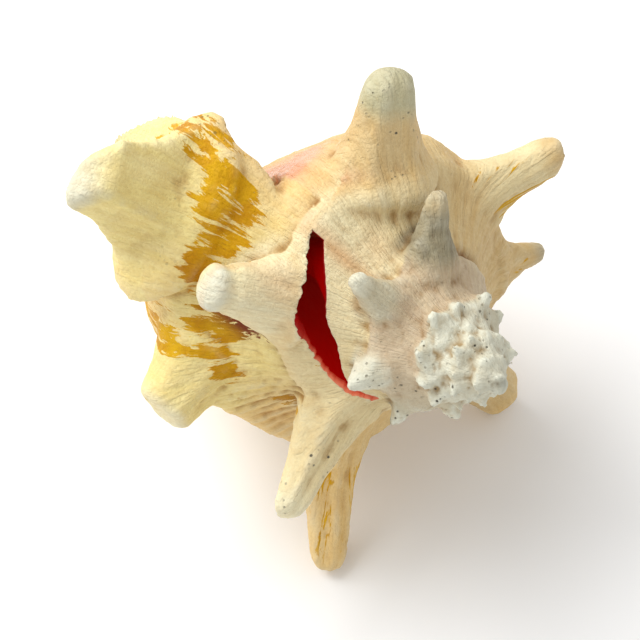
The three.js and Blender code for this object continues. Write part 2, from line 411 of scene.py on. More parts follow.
def smooth_path(points: Sequence[np.ndarray], fine: int) -> np.ndarray:
    """A smooth curve through points, with so many steps for each span.

    Args:
        points: The points that the curve passes through.
        fine: Steps for each span.

    Returns:
        Rows of points on the curve.
    """
    padded = [points[0], *points, points[-1]]
    rows = []
    for before, start, end, after in zip(
        padded, padded[1:], padded[2:], padded[3:], strict=False
    ):
        for step in range(fine):
            t = step / fine
            rows.append(
                0.5
                * (
                    2 * start
                    + (end - before) * t
                    + (2 * before - 5 * start + 4 * end - after) * t**2
                    + (3 * start - before - 3 * end + after) * t**3
                )
            )
    rows.append(points[-1])
    return np.array(rows)


# spines


# Where a spine starts and where its foot is, as shares of the shoulder's radius and depth,
# and its half width at the start, as a share of its base's.
START_RADIUS = 0.55
START_DEPTH = 1.1
START_WIDTH = 0.5
FOOT_RADIUS = 0.92
FOOT_DEPTH = 1.05


class Tip(Enum):
    """How a spine ends."""

    ROUND = "round"
    CHOPPED = "chopped"
    KNOBBED = "knobbed"
    POINTED = "pointed"


@dataclass(frozen=True)
class Groove:
    """A furrow along a spine. Its side is in degrees: 0 faces the lip, 90 the apex."""

    side: float
    deep: float
    wide: float


@dataclass(frozen=True)
class Facet:
    """A flat face along a spine, at a share of the half width from its middle."""

    side: float
    off: float
    start: float = 0.1


@dataclass(frozen=True)
class Spine:
    """One spine on the shoulder: its place, its size and its marks."""

    name: str
    at: float
    reach: float
    depth: float
    widths: tuple[float, float, float]
    flat: float = 0.9
    root: float | None = None
    tip: Tip = Tip.ROUND
    tilt: tuple[float, float] = (0.0, 0.0)
    grooves: tuple[Groove, ...] = ()
    facets: tuple[Facet, ...] = ()
    wobble: float = 0.05
    shaft: Tone = Tone.CREAM
    end: Tone = Tone.CREAM
    end_from: float = 0.8

    def line(self, law: GrowthLaw) -> tuple[np.ndarray, np.ndarray, np.ndarray]:
        """The spine's middle line.

        Args:
            law: The shell's growth.

        Returns:
            Its start inside the whorl, its foot at the wall and its end.
        """
        root = self.at if self.root is None else self.root
        azimuth = law.azimuth(root)
        radius = law.radius(root)
        depth = law.depth(root)
        return (
            law.place(azimuth, radius * START_RADIUS, depth * START_DEPTH),
            law.place(azimuth, radius * FOOT_RADIUS, depth * FOOT_DEPTH),
            law.place(law.azimuth(self.at), self.reach, self.depth),
        )

    def width(self, u: Value) -> Value:
        """Half width, before the tip is shaped.

        Args:
            u: Share of the way along the spine.

        Returns:
            The half width in millimetres.
        """
        base, middle, tip = self.widths
        spread = (base - middle) * np.maximum(0, 1 - u * 1.5) ** 2
        return tip + (middle - tip) * (1 - u) * 1.4 + spread

    def tip_factor(self, u: float) -> float:
        """How much the tip's shape narrows the spine.

        Args:
            u: Share of the way along the spine.

        Returns:
            A factor for the half width.
        """
        if self.tip is Tip.CHOPPED:
            return 1.0 - 0.22 * float(fade(0.93, 1.0, u))
        if self.tip is Tip.POINTED:
            return 1.0 - 0.75 * float(fade(0.55, 1.0, u))
        waist = 0.0
        if self.tip is Tip.KNOBBED:
            waist = 0.14 * math.exp(-(((u - 0.76) / 0.06) ** 2))
        rounded = max(0.0, (u - 0.86) / 0.14)
        return (1 - waist) * math.sqrt(max(0.04, 1 - rounded**2))

    def outline(self, u: float, side: np.ndarray) -> np.ndarray:
        """The ring's distance from the middle, as a share, in each direction.

        Args:
            u: Share of the way along the spine.
            side: Directions round the spine, in degrees.

        Returns:
            One factor for each direction.
        """
        factor = np.ones(len(side))
        for groove in self.grooves:
            away = (side - groove.side + HALF_TURN) % TURN - HALF_TURN
            factor -= groove.deep * np.exp(-((away / groove.wide) ** 2)) * fade(0, 0.25, u)
        for facet in self.facets:
            facing = np.cos(np.radians(side - facet.side))
            limit = facet.off / np.maximum(facing, 1e-3)
            limit = np.where(facing > 0.05, limit, 9.0)
            clipped = np.minimum(factor, limit)
            factor += (clipped - factor) * fade(facet.start, facet.start + 0.15, u)
        return factor

    def build(self, law: GrowthLaw, sides: int, rings: int) -> bpy.types.Object:
        """Lofts the spine.

        Args:
            law: The shell's growth.
            sides: Points round the spine.
            rings: Rings along it.

        Returns:
            The closed spine, which starts inside the whorl.
        """
        start, foot, end = self.line(law)
        along = Vector(end - foot).normalized()
        across = along.cross(Vector((0, 0, 1))).normalized()
        over = across.cross(along)
        along, across, over = np.array(along), np.array(across), np.array(over)
        side = np.arange(sides) * TURN / sides
        cosine = np.cos(np.radians(side))
        sine = np.sin(np.radians(side))
        seed = self.at * 0.173
        steepest = math.hypot(*self.tilt)
        shares = [-1.0, *[i / rings for i in range(rings + 1)]]
        made = []
        for u in shares:
            hidden = u < 0
            middle = start if hidden else foot + (end - foot) * u
            half = self.width(u) * self.tip_factor(u)
            if hidden:
                half = self.widths[0] * START_WIDTH
            ring = half * (np.ones(sides) if hidden else self.outline(u, side))
            spots = np.stack([cosine * 1.6, sine * 1.6, np.full(sides, u * 3.0)], axis=1)
            ring = ring * (1 + self.wobble * rough(spots, 1.0, seed))
            slope = float(fade(0.8, 1.0, u)) * half
            slant = (self.tilt[0] * cosine + self.tilt[1] * sine - steepest) * slope
            made.append(
                middle
                + np.outer(ring * cosine, across)
                + np.outer(ring * self.flat * sine, over)
                + np.outer(slant, along)
            )
        return skin_rings("spine_" + self.name, made)

    def coverage(self, law: GrowthLaw, points: np.ndarray) -> tuple[np.ndarray, np.ndarray]:
        """Which points belong to the spine, and how far along it they are.

        Args:
            law: The shell's growth.
            points: Points in the growth frame.

        Returns:
            A weight from 0 to 1, and the share of the way along.
        """
        _, foot, end = self.line(law)
        axis = end - foot
        u = (points - foot) @ axis / (axis @ axis)
        away = np.linalg.norm(points - foot - np.outer(u, axis), axis=1)
        width = self.width(np.clip(u, 0, 1))
        return (1 - fade(1.15, 1.7, away / width)) * fade(0.0, 0.3, u), u


SHOULDER_SPINES = (
    Spine("front_low", -458, 54.5, 38.5, (10, 7, 3.7), tip=Tip.CHOPPED, tilt=(0.1, -0.3),
          grooves=(Groove(84, 0.34, 20), Groove(150, 0.2, 18), Groove(20, 0.2, 18)),
          shaft=Tone.CREAM, end=Tone.PALE_CREAM),
    Spine("front_left", -391, 56, 51.6, (11.5, 7.6, 5.8), tip=Tip.KNOBBED,
          grooves=(Groove(60, 0.12, 14), Groove(125, 0.08, 12)),
          shaft=Tone.PALE_CREAM, end=Tone.CHALK, end_from=0.84),
    Spine("top", -323, 62, 50.5, (13, 9.8, 5.4), facets=(Facet(100, 0.78), Facet(38, 0.84)),
          grooves=(Groove(150, 0.1, 14),), wobble=0.07,
          shaft=Tone.TAN, end=Tone.GREEN_GREY, end_from=0.7),
    Spine("right", -267, 58.5, 46.3, (10, 7.2, 5.0), tip=Tip.CHOPPED, tilt=(-0.5, 0.3),
          grooves=(Groove(70, 0.36, 18),), facets=(Facet(25, 0.8), Facet(120, 0.85)),
          shaft=Tone.CREAM, end=Tone.TAN),
    Spine("right_low", -231, 54, 62, (9, 4.4, 2.2), flat=1, grooves=(Groove(80, 0.2, 18),),
          shaft=Tone.TAN, end=Tone.GREY_TAN),
    Spine("back", -190, 69.2, 72, (12, 8, 6), tip=Tip.CHOPPED, tilt=(0.2, -0.2),
          grooves=(Groove(60, 0.1, 16), Groove(130, 0.08, 14)),
          shaft=Tone.TAN, end=Tone.WARM_CREAM),
    Spine("low", -134, 75, 61.8, (11, 7, 4.8), tip=Tip.CHOPPED, tilt=(0.1, 0.25),
          grooves=(Groove(104, 0.3, 17), Groove(50, 0.26, 17), Groove(160, 0.26, 17)),
          wobble=0.12, shaft=Tone.WARM_CREAM, end=Tone.WARM_CREAM),
    Spine("left_low", -74, 57.5, 70, (13, 9.4, 7.4), root=-67, tip=Tip.CHOPPED,
          tilt=(0.0, 0.1), grooves=(Groove(120, 0.12, 15), Groove(60, 0.1, 14)),
          shaft=Tone.YELLOW_CREAM, end=Tone.PALE_CREAM, end_from=0.92),
    Spine("lip", -20, 84, 70, (21, 14.5, 8.5), flat=0.62, tip=Tip.CHOPPED,
          tilt=(-0.3, -0.2), facets=(Facet(58, 0.58), Facet(146, 0.6)),
          grooves=(Groove(172, 0.14, 9), Groove(104, 0.08, 7)), wobble=0.12,
          shaft=Tone.YELLOW_CREAM, end=Tone.CHALK, end_from=0.92),
)
OLDER_SPINES = (
    Spine("finger", -679, 36.5, 35.5, (7.5, 4.6, 2.2), flat=1, tip=Tip.CHOPPED, wobble=0.22,
          shaft=Tone.GREY, end=Tone.GREY_TAN),
    Spine("worn", -729, 31.5, 33.5, (5.5, 3.8, 2), flat=1, wobble=0.16,
          shaft=Tone.BONE, end=Tone.CHALK),
    Spine("thorn", -783, 28, 31, (5.5, 3, 0.9), flat=1, tip=Tip.POINTED, wobble=0.12,
          shaft=Tone.CHALK, end=Tone.CHALK),
    Spine("small_thorn", -828, 22.5, 31.5, (4, 2.6, 0.9), flat=1, wobble=0.12,
          shaft=Tone.BONE, end=Tone.GREY),
)


@dataclass(frozen=True)
class SpireKnobs:
    """The small cones that stud the spire's shoulder."""

    start: float = -872.0
    stop: float = -1900.0
    step: float = 34.0
    reach: float = 1.32
    widths: tuple[float, float, float] = (0.3, 0.18, 0.06)
    uneven: float = 0.42

    def spines(self, law: GrowthLaw) -> list[Spine]:
        """The knobs as spines, each a little different.

        Args:
            law: The shell's growth.

        Returns:
            One spine for each knob.
        """
        made = []
        at = self.start
        while at > self.stop:
            radius = float(law.radius(at))
            chance = noise.noise(Vector((at * 0.31, 2.7, 0.4)))
            made.append(
                Spine(
                    f"knob_{-at:.0f}",
                    at + 6 * chance,
                    radius * (self.reach + self.uneven * chance),
                    float(law.depth(at)) * (0.97 + 0.03 * chance),
                    tuple(w * radius * (1 + chance * 0.4) for w in self.widths),
                    flat=1.0,
                    wobble=0.2,
                    shaft=Tone.CHALK,
                    end=Tone.CHALK,
                )
            )
            at -= self.step
        return made


# hollow, slit


@dataclass(frozen=True)
class Hollow:
    """The room that the animal lived in."""

    start: float = -520.0
    joint: float = -250.0
    wall: float = 3.6
    lip_wall: float = 2.4
    narrowest: float = 1.2
    pillar: float = 8.5
    pillar_taper: float = 4.0
    rows: int = 26
    step: float = 4.0
    slot: int = 1

    def ring(self, law: GrowthLaw, growth: float) -> np.ndarray:
        """One ring of the hollow.

        Args:
            law: The shell's growth.
            growth: The growth angle.

        Returns:
            Points down the outer wall and back up the inner one.
        """
        scale = law.depth(growth) / law.shoulder
        thin = float(fade(-60, 0, growth))
        wall = (self.wall + (self.lip_wall - self.wall) * thin) * scale**0.6
        narrow = self.narrowest * scale
        outer = law.section(growth, 6)
        inner = law.section(growth - TURN, 6)
        seam = outer[0][1]
        canal = float(law.canal(growth))

        def near(depth: float) -> float:
            """How far from the axis the hollow starts at a depth."""
            pillar = (self.pillar - self.pillar_taper * (depth - seam) / (canal - seam)) * scale
            return max(radius_at(inner, depth) + 0.9 * wall, pillar)

        def far(depth: float) -> float:
            """How far from the axis the hollow ends at a depth."""
            under = radius_at(outer, depth - 1.1 * wall)
            return min(radius_at(outer, depth) - 1.15 * wall, under)

        free = [d for d in steps(seam, canal, 1) if far(d) - near(d) > narrow]
        rows = [free[0] + (free[-1] - free[0]) * (i / self.rows) ** 1.3
                for i in range(self.rows + 1)]
        azimuth = law.azimuth(growth)
        down = [law.place(azimuth, max(far(d), near(d) + narrow), d) for d in rows]
        back = [law.place(azimuth, near(d), d) for d in reversed(rows)]
        return np.array(down + back)

    def build(self, law: GrowthLaw) -> list[bpy.types.Object]:
        """The hollow as two cutters that meet, so that neither meets itself.

        Args:
            law: The shell's growth.

        Returns:
            Two closed cutters.
        """
        spans = [(self.start, self.joint + 10), (self.joint, law.lip_end + 8)]
        return [
            skin_rings(
                f"hollow_{i}",
                [self.ring(law, growth) for growth in steps(*span, self.step)],
                self.slot,
            )
            for i, span in enumerate(spans)
        ]


def radius_at(section: np.ndarray, depth: float) -> float:
    """The largest radius that a half section reaches at a depth.

    Args:
        section: Rows of radius and depth.
        depth: The depth asked for.

    Returns:
        The radius, or 0 where the section doesn't reach that depth.
    """
    start, end = section[:-1], section[1:]
    drop = end[:, 1] - start[:, 1]
    crossing = (start[:, 1] - depth) * (end[:, 1] - depth) <= 0
    crossing &= np.abs(drop) > 1e-6
    if not crossing.any():
        return 0.0
    share = (depth - start[crossing, 1]) / drop[crossing]
    radii = start[crossing, 0] + (end - start)[crossing, 0] * share
    return float(radii.max())


@dataclass(frozen=True)
class Slit:
    """The slot that a harvester cut through the ramp."""

    centres: Table = (
        (-455, 0.23), (-442, 0.38), (-430, 0.45), (-417, 0.47), (-405, 0.51),
        (-395, 0.57), (-385, 0.59), (-375, 0.69), (-366, 0.83), (-362, 0.89),
    )
    half_widths: Table = (
        (-455, 0.045), (-442, 0.065), (-430, 0.09), (-417, 0.14), (-405, 0.17),
        (-395, 0.165), (-385, 0.14), (-375, 0.13), (-366, 0.13), (-362, 0.11),
    )
    middle: tuple[float, float] = (-395, 0.55)
    above: float = 6.0
    below: float = 11.0
    ragged: float = 0.022
    step: float = 0.9
    slot: int = 2

    def on_ramp(self, law: GrowthLaw, growth: float, share: float) -> np.ndarray:
        """A point on the ramp.

        Args:
            law: The shell's growth.
            growth: The growth angle.
            share: The place across the ramp, from 0 at the suture to 1 at the shoulder.

        Returns:
            The point in the growth frame.
        """
        fine = 6
        section = law.section(growth, fine)
        at = share * 3 * fine
        low = min(int(at), len(section) - 2)
        radius, depth = section[low] + (section[low + 1] - section[low]) * (at - low)
        return law.place(law.azimuth(growth), radius, depth)

    def build(self, law: GrowthLaw) -> bpy.types.Object:
        """The cutter: a curved wedge through the ramp into the hollow.

        Args:
            law: The shell's growth.

        Returns:
            The closed cutter.
        """
        rings = []
        for growth in steps(self.centres[0][0], self.centres[-1][0], self.step):
            centre = float(interpolate(self.centres, growth))
            half = float(interpolate(self.half_widths, growth))
            chips = [noise.noise(Vector((growth * f, 3.1, s))) for f, s in
                     ((0.33, 1.0), (0.33, 9.0), (0.9, 4.0))]
            inner = self.on_ramp(law, growth, centre - half - self.ragged * 0.5 * chips[0])
            outer = self.on_ramp(
                law, growth, centre + half + self.ragged * (1.6 * chips[1] + chips[2])
            )
            ahead = self.on_ramp(law, growth + 3, centre)
            normal = np.cross(outer - inner, ahead - inner)
            normal = normal / np.linalg.norm(normal)
            if normal[2] < 0:
                normal = -normal
            rings.append(
                np.array([
                    inner + normal * self.above,
                    outer + normal * self.above,
                    outer - normal * self.below,
                    inner - normal * self.below,
                ])
            )
        return skin_rings("slit", rings, self.slot)


# relief and paint


@dataclass(frozen=True)
class Patch:
    """A soft patch on a whorl: where it is, how far it reaches and how strong it is."""

    growth: float
    share: float
    wide: float
    tall: float
    amount: float

    def weight(self, growth: np.ndarray, share: np.ndarray) -> np.ndarray:
        """The patch's strength.

        Args:
            growth: The growth angle of each place.
            share: The share of each place.

        Returns:
            One strength for each place.
        """
        return self.amount * np.exp(
            -(((growth - self.growth) / self.wide) ** 2)
            - (((share - self.share) / self.tall) ** 2)
        )


@dataclass(frozen=True)
class GrowthMap:
    """Where each vertex is on the grown shell."""

    azimuth: np.ndarray
    radius: np.ndarray
    depth: np.ndarray
    growth: np.ndarray
    share: np.ndarray

    @classmethod
    def of(cls, law: GrowthLaw, points: np.ndarray) -> "GrowthMap":
        """Finds the whorl, growth angle and share of points on the outside.

        Args:
            law: The shell's growth.
            points: Points in the growth frame.

        Returns:
            The map of those points.
        """
        azimuth, radius, depth = law.unbend(points)
        growth = law.lip_azimuth - azimuth
        growth = np.where(growth > law.lip_end + 4, growth - TURN, growth)
        for _ in range(6):
            higher = depth < law.suture(growth)[1] - 0.5
            growth = np.where(higher & (growth > law.first_whorl), growth - TURN, growth)
        seam_radius = law.suture(growth)[0]
        edge_radius, edge_depth = law.radius(growth), law.depth(growth)
        out = (radius - seam_radius) / (edge_radius - seam_radius)
        down = (depth - edge_depth) / (law.canal(growth) - edge_depth)
        below = depth > edge_depth + 1.0
        share = np.where(below, 1 + np.maximum(down, 0), np.clip(out, -0.2, 3))
        return cls(azimuth, radius, depth, growth, share)

    def lines(self) -> np.ndarray:
        """A place for patterns that run along the growth lines.

        Returns:
            Rows in metres: two parts go round the axis, and the third goes slowly down the
            whorl, so that a pattern is drawn out that way.
        """
        angle = np.radians(self.azimuth)
        across = 50.0
        along = (self.radius * 0.6 + self.depth) * 0.22
        return MM * np.stack([across * np.cos(angle), across * np.sin(angle), along], axis=1)


STAINS = (
    Patch(0, 0.9, 7, 0.34, 0.85), Patch(-6, 0.6, 8, 0.34, 0.95),
    Patch(-15, 0.62, 9, 0.34, 0.95), Patch(-24, 0.64, 9, 0.32, 0.9),
    Patch(-33, 0.8, 8, 0.3, 0.85), Patch(-46, 0.5, 9, 0.42, 1.0),
    Patch(-56, 0.75, 8, 0.42, 0.8), Patch(-66, 0.82, 8, 0.36, 0.8),
    Patch(-78, 0.9, 8, 0.26, 0.5), Patch(-4, 1.2, 6, 0.2, 0.8),
    Patch(-92, 0.3, 9, 0.22, 0.8), Patch(-86, 0.62, 7, 0.16, 0.4),
    Patch(-150, 0.8, 26, 0.3, 0.6), Patch(-215, 1.1, 22, 0.3, 0.55),
    Patch(-60, 1.35, 20, 0.2, 0.7), Patch(-130, 1.45, 25, 0.22, 0.7),
    Patch(-235, 1.4, 28, 0.25, 0.7), Patch(-300, 1.5, 24, 0.2, 0.6),
)
# Painted shade: dark red-brown patches on the ramp under the front spines.
SPINE_SHADE_PATCHES = (
    Patch(-43, 0.4, 8, 0.3, 1.0), Patch(-50, 0.2, 12, 0.2, 0.8),
    Patch(-92, 0.15, 12, 0.2, 0.8),
)
STREAKS = (
    Patch(-362, 0.62, 4.5, 0.5, 0.9), Patch(-345, 0.35, 9, 0.2, 0.35),
    Patch(-384, 1.3, 6, 0.4, 0.5), Patch(-398, 1.0, 6, 0.3, 0.3),
)
CALLUS_PATCHES = (
    Patch(-346, 1.26, 13, 0.1, 1.6), Patch(-356, 1.5, 20, 0.25, 1.2),
)
CRUMBS = (
    Patch(3, 0.9, 4.5, 0.4, 1.0), Patch(-10, 1.12, 9, 0.12, 0.8), Patch(-27, 1.15, 9, 0.1, 0.7),
)

RAMP_TONES = (
    (-2200.0, Tone.CHALK), (-1050.0, Tone.CHALK), (-860.0, Tone.BONE),
    (-760.0, Tone.PINK_BEIGE), (-560.0, Tone.PINK_BEIGE), (-470.0, Tone.CREAM),
    (-420.0, Tone.CREAM), (-360.0, Tone.PALE_CREAM), (-330.0, Tone.CREAM),
    (-280.0, Tone.TAN), (-180.0, Tone.TAN), (-100.0, Tone.WARM_CREAM),
    (-60.0, Tone.YELLOW_CREAM), (-20.0, Tone.YELLOW_CREAM), (4.0, Tone.WARM_CREAM),
)
BODY_TONES = (
    (-2200.0, Tone.CHALK), (-900.0, Tone.BONE), (-700.0, Tone.PINK_BEIGE),
    (-480.0, Tone.CREAM), (-340.0, Tone.WARM_CREAM), (-200.0, Tone.TAN),
    (-90.0, Tone.WARM_CREAM), (4.0, Tone.YELLOW_CREAM),
)

# The inside's tones, by how far they are from the middle of the slit.
INNER_TONES = (
    (0.0, Tone.DEEP_RED), (34.0, Tone.DEEP_RED), (60.0, Tone.ROSE), (95.0, Tone.SALMON),
    (150.0, Tone.PEACH),
)


@dataclass(frozen=True)
class Relief:
    """The uneven surface of an old shell, as heights in millimetres."""

    lumps: float = 0.55
    lump_size: float = 15.0
    folds: float = 0.48
    fold_size: float = 4.2
    grain: float = 0.25
    grain_size: float = 2.5
    crust: float = 0.95
    crust_size: float = 3.2
    ribs: float = 0.42
    ribs_at: float = -95.0
    ribs_spread: float = 30.0
    ribs_per_turn: float = 80.0
    crack: float = 1.4

    def heights(self, points: np.ndarray, where: GrowthMap) -> np.ndarray:
        """How far each vertex moves along its normal.

        Args:
            points: The vertices in the growth frame.
            where: Their growth map.

        Returns:
            One height for each vertex.
        """
        spire = 1 - fade(-900, -800, where.growth)
        worn = 1 - fade(-660, -560, where.growth)
        folds = rough(where.lines() / MM, self.fold_size, 5.3)
        height = self.lumps * rough(points, self.lump_size, 1.7) + self.folds * folds * (1 - worn)
        height += self.grain * rough(points, self.grain_size, 8.1)
        crust = rough(points, self.crust_size, 3.3, 3)
        height += self.crust * (0.4 * worn + 0.6 * spire) * crust
        ribbed = np.exp(-(((where.growth - self.ribs_at) / self.ribs_spread) ** 2))
        ribbed *= 1 - fade(0.9, 1.1, where.share)
        height += self.ribs * ribbed * np.sin(np.radians(where.growth * self.ribs_per_turn))
        height -= self.crack * seam_crack(where)
        return height


def seam_crack(where: GrowthMap) -> np.ndarray:
    """1 in the crack where the last whorl meets the one before, and 0 away from it."""
    return np.exp(-((where.share / 0.1) ** 2)) * fade(-350, -300, where.growth)


@dataclass(frozen=True)
class ShellPaint:
    """The shell's broad colours and masks, kept on its vertices."""

    spines: tuple[Spine, ...]
    streaked: dict[str, float] = field(default_factory=lambda: {"low": 0.64, "right": 0.52})
    pitted: tuple[str, ...] = ("finger", "right_low", "front_low", "top")
    pit_share: float = 0.85

    def tones(self, law: GrowthLaw, points: np.ndarray, where: GrowthMap) -> np.ndarray:
        """The broad colour of each vertex on the outside.

        Args:
            law: The shell's growth.
            points: The vertices in the growth frame.
            where: Their growth map.

        Returns:
            Linear red, green and blue.
        """
        body = fade(0.97, 1.12, where.share)[:, None]
        ramp = blend_tones(RAMP_TONES, where.growth)
        colour = ramp + (blend_tones(BODY_TONES, where.growth) - ramp) * body
        colour = paint_over(colour, Tone.SALMON, total_weight(CALLUS_PATCHES, where))
        for spine in self.spines:
            weight, along = spine.coverage(law, points)
            shaft = np.array(spine.shaft.linear()[:3])
            end = np.array(spine.end.linear()[:3])
            share = fade(spine.end_from - 0.12, spine.end_from + 0.1, along)[:, None]
            tone = shaft + (end - shaft) * share
            colour += (tone - colour) * weight[:, None]
        colour = paint_over(colour, Tone.ORANGE, total_weight(STREAKS, where))
        # Painted shade: the seam crack, where the last whorl meets the one before, is darkened to
        # red-brown.
        return paint_over(colour, Tone.RUST, 0.7 * seam_crack(where))

    def masks(self, law: GrowthLaw, points: np.ndarray, where: GrowthMap) -> dict[str, np.ndarray]:
        """The soft masks that the outer finish reads.

        Args:
            law: The shell's growth.
            points: The vertices in the growth frame.
            where: Their growth map.

        Returns:
            A value from 0 to 1 for each vertex, under each mask's name.
        """
        on_spine = np.zeros(len(points))
        for spine in SHOULDER_SPINES:
            weight, along = spine.coverage(law, points)
            on_spine = np.maximum(on_spine, weight * fade(0.1, 0.5, along))
        spire = 1 - fade(-830, -690, where.growth)
        stain = total_weight(STAINS, where) * (1 - 0.5 * on_spine)
        pits = np.clip(spire + total_weight(CRUMBS, where) * 0.5, 0, 1)
        for spine in self.spines:
            cover = spine.coverage(law, points)[0]
            stain = np.maximum(stain, self.streaked.get(spine.name, 0.0) * cover)
            if spine.name in self.pitted:
                pits = np.maximum(pits, self.pit_share * cover)
        return {
            "stain": np.clip(stain, 0, 1),
            # Painted shade under the front spines.
            "spine_shade": np.clip(total_weight(SPINE_SHADE_PATCHES, where), 0, 1),
            "crumbs": np.clip(total_weight(CRUMBS, where), 0, 1),
            "callus": np.clip(total_weight(CALLUS_PATCHES, where), 0, 1),
            "chalky": spire,
            "pitted": pits,
            "rim": 1 - fade(-422, -398, where.growth),
        }


def paint_over(colour: np.ndarray, tone: Tone, weight: np.ndarray) -> np.ndarray:
    """Colours moved towards a tone by a weight from 0 to 1."""
    share = np.clip(weight, 0, 1)[:, None]
    return colour + (np.array(tone.linear()[:3]) - colour) * share


def total_weight(patches: Iterable[Patch], where: GrowthMap) -> np.ndarray:
    """The sum of patches at each vertex."""
    return sum(patch.weight(where.growth, where.share) for patch in patches)


def hollowness(data: bpy.types.Mesh, points: np.ndarray, rounds: int) -> np.ndarray:
    """How hollow the surface is at each vertex, in the points' unit.

    Args:
        data: The mesh.
        points: Its vertices.
        rounds: How many times the surface is averaged; more rounds see wider hollows.

    Returns:
        Positive values in hollows and negative ones on ridges.
    """
    ends = np.empty(len(data.edges) * 2, np.int32)
    data.edges.foreach_get("vertices", ends)
    one, two = ends.reshape(-1, 2).T
    normals = np.empty(len(points) * 3, np.float32)
    data.vertex_normals.foreach_get("vector", normals)
    count = np.bincount(np.concatenate([one, two]), minlength=len(points))
    count = np.maximum(count, 1)[:, None]
    smooth = points.copy()
    for _ in range(rounds):
        total = np.zeros_like(smooth)
        for axis in range(3):
            total[:, axis] = np.bincount(one, smooth[two, axis], len(points))
            total[:, axis] += np.bincount(two, smooth[one, axis], len(points))
        smooth = total / count
    return np.einsum("ij,ij->i", smooth - points, normals.reshape(-1, 3))


# finishes

Feed = bpy.types.NodeSocket | float | tuple[float, ...]
VECTOR = "NodeSocketVector"
FLOAT = "NodeSocketFloat"


class Tint(Enum):
    """Linear colours that darken the colour below them, or fill a pit."""

    CLOUD = (0.8, 0.72, 0.6, 1)
    LINE = (0.72, 0.58, 0.42, 1)
    GRAIN = (0.76, 0.64, 0.5, 1)
    # Dust and painted shade, for hollows, creases and the bases of spines.
    DUST = (0.52, 0.35, 0.18, 1)
    FLESH = (0.92, 0.72, 0.62, 1)
    FLESH_LINE = (0.9, 0.76, 0.68, 1)
    CUT = (0.9, 0.7, 0.62, 1)
    PIT = (0.08, 0.07, 0.05, 1)


class Board:
    """Adds nodes to one node tree and joins them up."""

    def __init__(self, tree: bpy.types.NodeTree) -> None:
        """Starts on a tree, which keeps what it already has."""
        self.tree = tree

    def add(
        self, kind: str, feeds: dict[str | int, Feed] | None = None, **settings: object
    ) -> bpy.types.Node:
        """A new node.

        Args:
            kind: Blender's name for the kind of node.
            feeds: What goes into its inputs, by name or number.
            settings: Values for the node's own settings.

        Returns:
            The node.
        """
        node = self.tree.nodes.new(kind)
        for name, value in settings.items():
            setattr(node, name, value)
        for socket, value in (feeds or {}).items():
            self.feed(node.inputs[socket], value)
        return node

    def feed(self, socket: bpy.types.NodeSocket, value: Feed) -> None:
        """Joins a socket to another one, or sets it to a plain value.

        Args:
            socket: The input socket.
            value: The output socket or the value that goes in.
        """
        if isinstance(value, bpy.types.NodeSocket):
            self.tree.links.new(value, socket)
        else:
            socket.default_value = value

    def dress(self, shader: bpy.types.Node, **feeds: Feed) -> None:
        """Feeds a shader's sockets, whose names have _ for each space."""
        for name, value in feeds.items():
            self.feed(shader.inputs[name.replace("_", " ")], value)

    def math(self, operation: str, one: Feed, two: Feed) -> bpy.types.NodeSocket:
        """Two values put together by an operation."""
        return self.add("ShaderNodeMath", {0: one, 1: two}, operation=operation).outputs[0]

    def plus(self, one: Feed, two: Feed) -> bpy.types.NodeSocket:
        """The sum of two values."""
        return self.math("ADD", one, two)

    def times(self, first: Feed, *others: Feed) -> bpy.types.NodeSocket:
        """The product of values.

        Args:
            first: The first value.
            others: The values that it is multiplied by, in order.

        Returns:
            The product.
        """
        for other in others:
            first = self.math("MULTIPLY", first, other)
        return first

    def between(self, value: Feed, low: float, high: float) -> bpy.types.NodeSocket:
        """0 at low, 1 at high and smooth between them."""
        feeds = {"Value": value, "From Min": low, "From Max": high}
        return self.add("ShaderNodeMapRange", feeds, interpolation_type="SMOOTHSTEP").outputs[0]

    def mix(self, share: Feed, one: Feed, two: Feed, kind: str = "MIX") -> bpy.types.NodeSocket:
        """A colour between two others, or another kind of mix of them."""
        feeds = {"Factor": share, 6: one, 7: two}
        return self.add("ShaderNodeMix", feeds, data_type="RGBA", blend_type=kind).outputs[2]

    def darken(self, share: Feed, colour: Feed, tint: Tint) -> bpy.types.NodeSocket:
        """A colour multiplied by a share of a tint."""
        return self.mix(share, colour, tint.value, "MULTIPLY")

    def noise(
        self, vector: Feed, scale: Feed, detail: float, roughness: float = 0.55,
        distortion: float = 0.0,
    ) -> bpy.types.NodeSocket:
        """Noise, about 0.2 to 0.8.

        Args:
            vector: The place.
            scale: How fine the noise is.
            detail: How many finer layers it has.
            roughness: How strong the finer layers are.
            distortion: How much the noise is stirred.

        Returns:
            The noise's value.
        """
        feeds = {
            "Vector": vector, "Scale": scale, "Detail": detail, "Roughness": roughness,
            "Distortion": distortion,
        }
        return self.add("ShaderNodeTexNoise", feeds).outputs[0]

    def stretched(self, vector: Feed, scale: tuple[float, float, float]) -> bpy.types.NodeSocket:
        """A vector with each part scaled on its own."""
        return self.add("ShaderNodeMapping", {"Vector": vector, "Scale": scale}).outputs[0]

    def attribute(self, name: str, output: str = "Fac") -> bpy.types.NodeSocket:
        """The piece's own attribute of a name."""
        return self.add("ShaderNodeAttribute", attribute_name=name).outputs[output]

    def object_place(self) -> bpy.types.NodeSocket:
        """The place on the piece."""
        return self.add("ShaderNodeTexCoord").outputs["Object"]

    def place(self, group: bpy.types.NodeTree, **feeds: Feed) -> bpy.types.NodeOutputs:
        """The outputs of a node group that is placed in the tree, with its inputs fed."""
        return self.add("ShaderNodeGroup", feeds, node_tree=group).outputs

    def bump(self, height: Feed, strength: float, distance: float) -> bpy.types.NodeSocket:
        """A normal from a height; the distance is in metres."""
        feeds = {"Height": height, "Strength": strength, "Distance": distance}
        return self.add("ShaderNodeBump", feeds).outputs[0]


